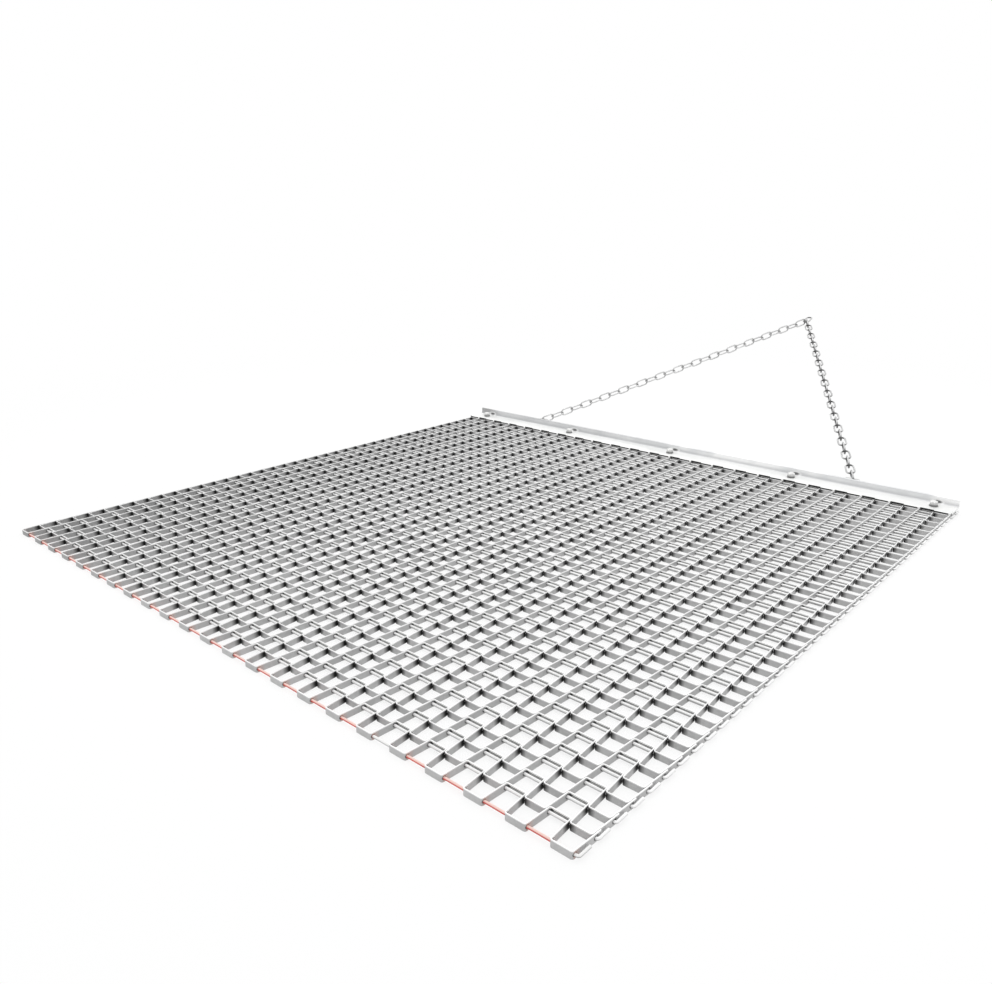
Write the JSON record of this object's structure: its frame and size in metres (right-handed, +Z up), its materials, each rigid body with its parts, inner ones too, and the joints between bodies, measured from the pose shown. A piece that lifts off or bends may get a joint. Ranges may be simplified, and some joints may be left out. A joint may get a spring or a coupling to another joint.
{
  "type": "chain harrow",
  "caption": "Drag harrow: a flexible mat of interlocked flat steel strips on cross rods, bolted under an angle bar and towed by a two-legged chain bridle.",
  "frame": {"origin": "on the ground, at the middle of the whole harrow's footprint, mat and bridle together", "axes": "+Y the towing direction, toward the hitch link; +X across the mat; +Z up"},
  "size_m": [1.8228, 2.8858, 0.3869],
  "materials": {
    "mesh_steel": "dull galvanised strip with whitish edges",
    "bar_steel": "bright galvanised, satin",
    "bolt_steel": "zinc plated",
    "chain_steel": "zinc plated wire",
    "red_paint": "matt red paint"
  },
  "bodies": {
    "lead_frame": {"lead_bar": "bar_steel", "clamp_bolt_1": "bolt_steel", "clamp_bolt_2": "bolt_steel", "clamp_bolt_3": "bolt_steel", "clamp_bolt_4": "bolt_steel", "clamp_bolt_5": "bolt_steel", "clamp_jaw_1": "mesh_steel", "clamp_jaw_2": "mesh_steel", "clamp_jaw_3": "mesh_steel", "clamp_jaw_4": "mesh_steel", "clamp_jaw_5": "mesh_steel", "cross_rod_01": "mesh_steel", "cross_rod_02": "mesh_steel", "mesh_strip_01": "mesh_steel"},
    "mat_row_02": {"mesh_strip_02": "mesh_steel", "cross_rod_03": "mesh_steel"},
    "mat_row_03": {"mesh_strip_03": "mesh_steel", "cross_rod_04": "mesh_steel"},
    "mat_row_04": {"mesh_strip_04": "mesh_steel", "cross_rod_05": "mesh_steel"},
    "mat_row_05": {"mesh_strip_05": "mesh_steel", "cross_rod_06": "mesh_steel"},
    "mat_row_06": {"mesh_strip_06": "mesh_steel", "cross_rod_07": "mesh_steel"},
    "mat_row_07": {"mesh_strip_07": "mesh_steel", "cross_rod_08": "mesh_steel"},
    "mat_row_08": {"mesh_strip_08": "mesh_steel", "cross_rod_09": "mesh_steel"},
    "mat_row_09": {"mesh_strip_09": "mesh_steel", "cross_rod_10": "mesh_steel"},
    "mat_row_10": {"mesh_strip_10": "mesh_steel", "cross_rod_11": "mesh_steel"},
    "mat_row_11": {"mesh_strip_11": "mesh_steel", "cross_rod_12": "mesh_steel"},
    "mat_row_12": {"mesh_strip_12": "mesh_steel", "cross_rod_13": "mesh_steel"},
    "mat_row_13": {"mesh_strip_13": "mesh_steel", "cross_rod_14": "mesh_steel"},
    "mat_row_14": {"mesh_strip_14": "mesh_steel", "trailing_rod": "red_paint"},
    "chain_left_1": {"chain_left_1": "chain_steel"},
    "chain_left_2": {"chain_left_2": "chain_steel"},
    "chain_left_3": {"chain_left_3": "chain_steel"},
    "chain_left_4": {"chain_left_4": "chain_steel"},
    "chain_left_5": {"chain_left_5": "chain_steel"},
    "chain_left_6": {"chain_left_6": "chain_steel"},
    "chain_left_7": {"chain_left_7": "chain_steel"},
    "chain_right_1": {"chain_right_1": "chain_steel"},
    "chain_right_2": {"chain_right_2": "chain_steel"},
    "chain_right_3": {"chain_right_3": "chain_steel"},
    "chain_right_4": {"chain_right_4": "chain_steel"},
    "chain_right_5": {"chain_right_5": "chain_steel"},
    "chain_right_6": {"chain_right_6": "chain_steel"},
    "chain_right_7": {"chain_right_7": "chain_steel"},
    "hitch": {"hitch_link": "chain_steel"}
  },
  "joints": [
    {"name": "row_02_hinge", "type": "hinge", "parent": "lead_frame", "child": "mat_row_02", "pos_m": [0, 0.25305, 0.0067], "axis": [-1, 0, 0], "range_deg": [-12, 18]},
    {"name": "row_03_hinge", "type": "hinge", "parent": "mat_row_02", "child": "mat_row_03", "pos_m": [0, 0.12298, 0.0067], "axis": [-1, 0, 0], "range_deg": [-12, 30]},
    {"name": "row_04_hinge", "type": "hinge", "parent": "mat_row_03", "child": "mat_row_04", "pos_m": [0, -0.00711, 0.0067], "axis": [-1, 0, 0], "range_deg": [-12, 42]},
    {"name": "row_05_hinge", "type": "hinge", "parent": "mat_row_04", "child": "mat_row_05", "pos_m": [0, -0.13719, 0.0067], "axis": [-1, 0, 0], "range_deg": [-12, 43]},
    {"name": "row_06_hinge", "type": "hinge", "parent": "mat_row_05", "child": "mat_row_06", "pos_m": [0, -0.26726, 0.0067], "axis": [-1, 0, 0], "range_deg": [-12, 45]},
    {"name": "row_07_hinge", "type": "hinge", "parent": "mat_row_06", "child": "mat_row_07", "pos_m": [0, -0.39735, 0.0067], "axis": [-1, 0, 0], "range_deg": [-12, 48]},
    {"name": "row_08_hinge", "type": "hinge", "parent": "mat_row_07", "child": "mat_row_08", "pos_m": [0, -0.52743, 0.0067], "axis": [-1, 0, 0], "range_deg": [-12, 52]},
    {"name": "row_09_hinge", "type": "hinge", "parent": "mat_row_08", "child": "mat_row_09", "pos_m": [0, -0.65751, 0.0067], "axis": [-1, 0, 0], "range_deg": [-12, 55]},
    {"name": "row_10_hinge", "type": "hinge", "parent": "mat_row_09", "child": "mat_row_10", "pos_m": [0, -0.78758, 0.0067], "axis": [-1, 0, 0], "range_deg": [-12, 60]},
    {"name": "row_11_hinge", "type": "hinge", "parent": "mat_row_10", "child": "mat_row_11", "pos_m": [0, -0.91766, 0.0067], "axis": [-1, 0, 0], "range_deg": [-12, 64]},
    {"name": "row_12_hinge", "type": "hinge", "parent": "mat_row_11", "child": "mat_row_12", "pos_m": [0, -1.04774, 0.0067], "axis": [-1, 0, 0], "range_deg": [-12, 69]},
    {"name": "row_13_hinge", "type": "hinge", "parent": "mat_row_12", "child": "mat_row_13", "pos_m": [0, -1.17782, 0.0067], "axis": [-1, 0, 0], "range_deg": [-12, 74]},
    {"name": "row_14_hinge", "type": "hinge", "parent": "mat_row_13", "child": "mat_row_14", "pos_m": [0, -1.30791, 0.0067], "axis": [-1, 0, 0], "range_deg": [-12, 80]},
    {"name": "left_staple_hinge", "type": "hinge", "parent": "lead_frame", "child": "chain_left_1", "pos_m": [0, 0.39277, 0.032], "axis": [1, 0, 0], "range_deg": [-18, 70]},
    {"name": "left_link_hinge_2", "type": "hinge", "parent": "chain_left_1", "child": "chain_left_2", "pos_m": [0, 0.56022, 0.08835], "axis": [-1, 0, 0], "range_deg": [-40, 40]},
    {"name": "left_link_hinge_3", "type": "hinge", "parent": "chain_left_2", "child": "chain_left_3", "pos_m": [0, 0.69961, 0.13526], "axis": [1, 0, 0], "range_deg": [-40, 40]},
    {"name": "left_link_hinge_4", "type": "hinge", "parent": "chain_left_3", "child": "chain_left_4", "pos_m": [0, 0.83901, 0.18217], "axis": [-1, 0, 0], "range_deg": [-40, 40]},
    {"name": "left_link_hinge_5", "type": "hinge", "parent": "chain_left_4", "child": "chain_left_5", "pos_m": [0, 0.9784, 0.22908], "axis": [1, 0, 0], "range_deg": [-40, 40]},
    {"name": "left_link_hinge_6", "type": "hinge", "parent": "chain_left_5", "child": "chain_left_6", "pos_m": [0, 1.11779, 0.27599], "axis": [-1, 0, 0], "range_deg": [-40, 40]},
    {"name": "left_link_hinge_7", "type": "hinge", "parent": "chain_left_6", "child": "chain_left_7", "pos_m": [0, 1.25718, 0.3229], "axis": [1, 0, 0], "range_deg": [-40, 40]},
    {"name": "right_staple_hinge", "type": "hinge", "parent": "lead_frame", "child": "chain_right_1", "pos_m": [0, 0.39277, 0.032], "axis": [1, 0, 0], "range_deg": [-18, 70]},
    {"name": "right_link_hinge_2", "type": "hinge", "parent": "chain_right_1", "child": "chain_right_2", "pos_m": [0, 0.56022, 0.08835], "axis": [-1, 0, 0], "range_deg": [-40, 40]},
    {"name": "right_link_hinge_3", "type": "hinge", "parent": "chain_right_2", "child": "chain_right_3", "pos_m": [0, 0.69961, 0.13526], "axis": [1, 0, 0], "range_deg": [-40, 40]},
    {"name": "right_link_hinge_4", "type": "hinge", "parent": "chain_right_3", "child": "chain_right_4", "pos_m": [0, 0.83901, 0.18217], "axis": [-1, 0, 0], "range_deg": [-40, 40]},
    {"name": "right_link_hinge_5", "type": "hinge", "parent": "chain_right_4", "child": "chain_right_5", "pos_m": [0, 0.9784, 0.22908], "axis": [1, 0, 0], "range_deg": [-40, 40]},
    {"name": "right_link_hinge_6", "type": "hinge", "parent": "chain_right_5", "child": "chain_right_6", "pos_m": [0, 1.11779, 0.27599], "axis": [-1, 0, 0], "range_deg": [-40, 40]},
    {"name": "right_link_hinge_7", "type": "hinge", "parent": "chain_right_6", "child": "chain_right_7", "pos_m": [0, 1.25718, 0.3229], "axis": [1, 0, 0], "range_deg": [-40, 40]},
    {"name": "hitch_hinge", "type": "hinge", "parent": "chain_left_7", "child": "hitch", "pos_m": [0, 1.39453, 0.36913], "axis": [1, 0, 0], "range_deg": [-40, 40]}
  ],
  "couplings": [
    {"joint": "right_staple_hinge", "follows": "left_staple_hinge", "ratio": 1},
    {"joint": "right_link_hinge_2", "follows": "left_link_hinge_2", "ratio": 1},
    {"joint": "right_link_hinge_3", "follows": "left_link_hinge_3", "ratio": 1},
    {"joint": "right_link_hinge_4", "follows": "left_link_hinge_4", "ratio": 1},
    {"joint": "right_link_hinge_5", "follows": "left_link_hinge_5", "ratio": 1},
    {"joint": "right_link_hinge_6", "follows": "left_link_hinge_6", "ratio": 1},
    {"joint": "right_link_hinge_7", "follows": "left_link_hinge_7", "ratio": 1}
  ]
}
